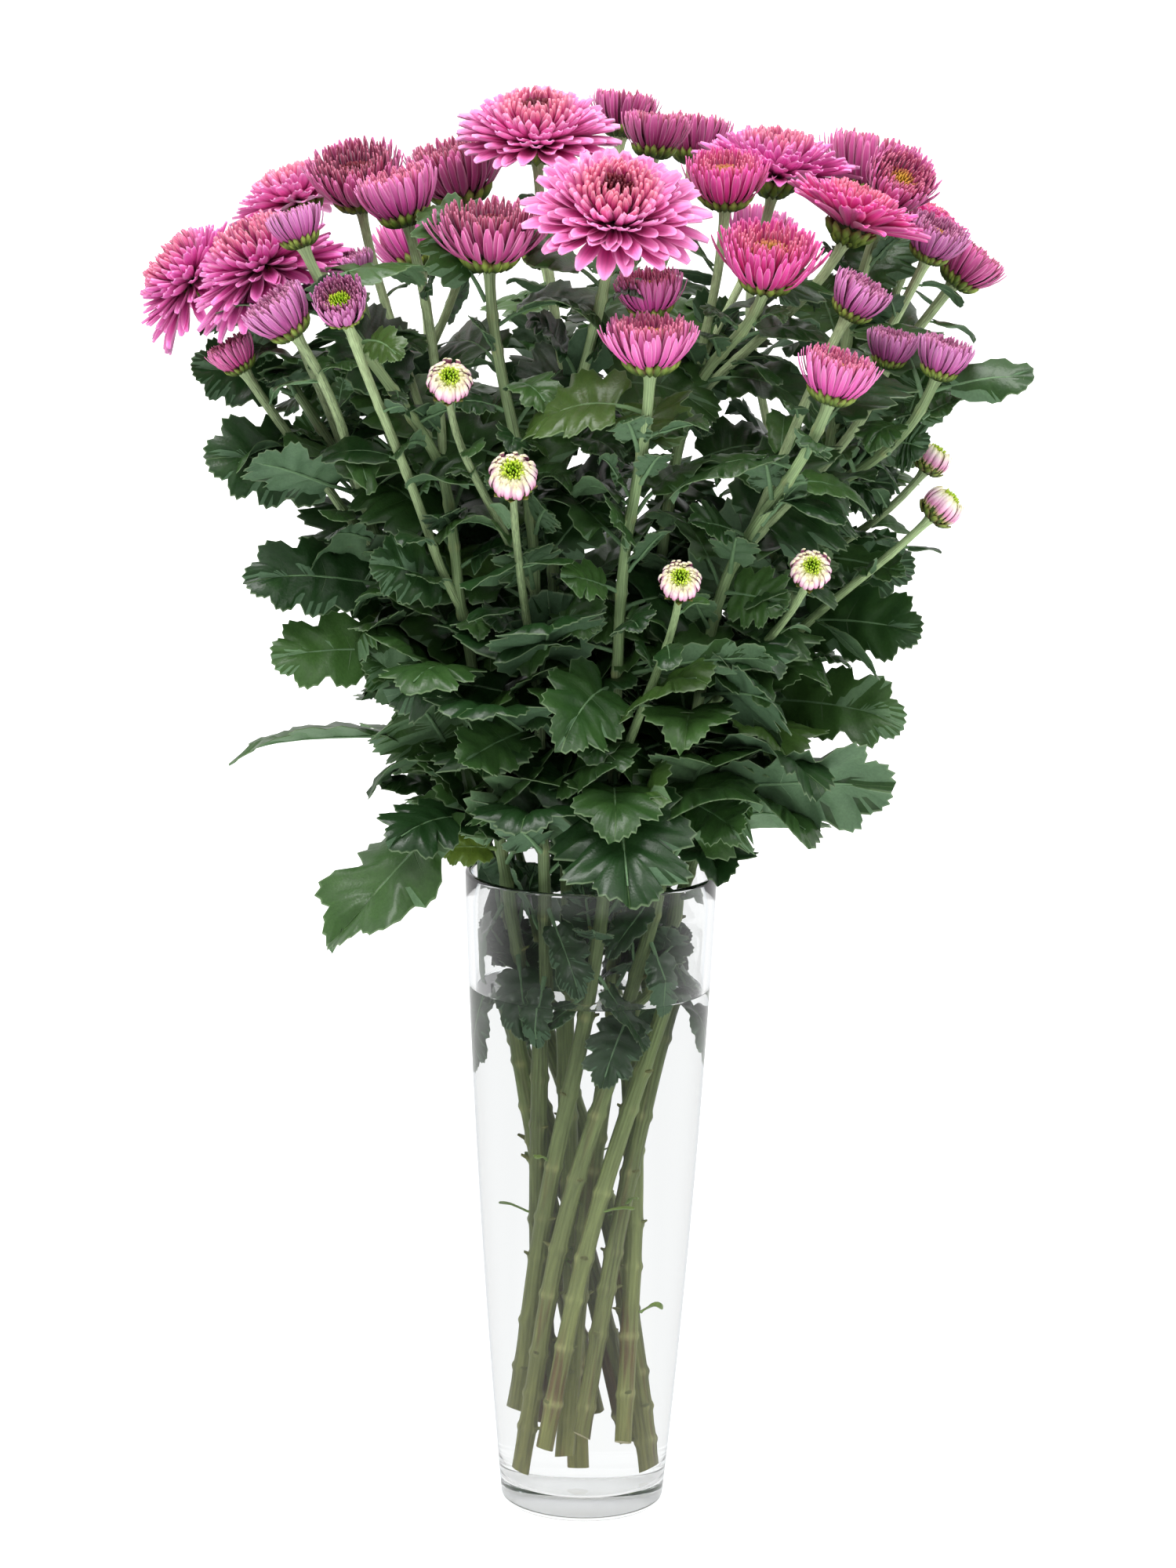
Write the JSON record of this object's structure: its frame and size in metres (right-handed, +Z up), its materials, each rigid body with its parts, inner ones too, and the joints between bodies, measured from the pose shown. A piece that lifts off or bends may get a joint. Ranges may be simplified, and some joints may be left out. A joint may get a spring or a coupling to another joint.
{
  "type": "cut spray chrysanthemums in a glass vase",
  "caption": "Bunch of cut pink spray chrysanthemums with lobed green leaves, standing in water in a tall tapered clear glass vase.",
  "frame": {"origin": "the middle of the vase's foot, on the surface that it stands on", "axes": "+Z up the vase, +X to the right and +Y away from the viewer in the front view"},
  "size_m": [0.3241, 0.2425, 0.5442],
  "materials": {
    "clear_glass": "polished",
    "water": "gloss",
    "green_stem": "satin",
    "open_petals": "satin",
    "half_open_petals": "satin",
    "bud_scales": "satin",
    "green_leaf": "satin"
  },
  "bodies": {
    "root": {"vase": "clear_glass", "water": "water", "stem_01": "green_stem", "stem_02": "green_stem", "stem_03": "green_stem", "stem_04": "green_stem", "stem_05": "green_stem", "stem_06": "green_stem", "stem_07": "green_stem", "stem_08": "green_stem", "stem_09": "green_stem", "stem_10": "green_stem", "stem_11": "green_stem", "half_open_flower_01": "half_open_petals", "half_open_flower_02": "half_open_petals", "half_open_flower_03": "half_open_petals", "half_open_flower_04": "half_open_petals", "open_flower_01": "open_petals", "open_flower_02": "open_petals", "half_open_flower_05": "half_open_petals", "half_open_flower_06": "half_open_petals", "open_flower_03": "open_petals", "half_open_flower_07": "half_open_petals", "half_open_flower_08": "half_open_petals", "half_open_flower_09": "half_open_petals", "half_open_flower_10": "half_open_petals", "bud_01": "bud_scales", "bud_02": "bud_scales", "open_flower_04": "open_petals", "open_flower_05": "open_petals", "half_open_flower_11": "half_open_petals", "half_open_flower_12": "half_open_petals", "bud_03": "bud_scales", "half_open_flower_13": "half_open_petals", "open_flower_06": "open_petals", "half_open_flower_14": "half_open_petals", "open_flower_07": "open_petals", "half_open_flower_15": "half_open_petals", "half_open_flower_16": "half_open_petals", "half_open_flower_17": "half_open_petals", "half_open_flower_18": "half_open_petals", "half_open_flower_19": "half_open_petals", "bud_04": "bud_scales", "half_open_flower_20": "half_open_petals", "half_open_flower_21": "half_open_petals", "half_open_flower_22": "half_open_petals", "half_open_flower_23": "half_open_petals", "half_open_flower_24": "half_open_petals", "bud_05": "bud_scales", "half_open_flower_25": "half_open_petals", "open_flower_08": "open_petals", "half_open_flower_26": "half_open_petals", "bud_06": "bud_scales", "half_open_flower_27": "half_open_petals", "leaf_01": "green_leaf", "leaf_02": "green_leaf", "leaf_03": "green_leaf", "leaf_04": "green_leaf", "leaf_05": "green_leaf", "leaf_06": "green_leaf"}
  },
  "joints": []
}
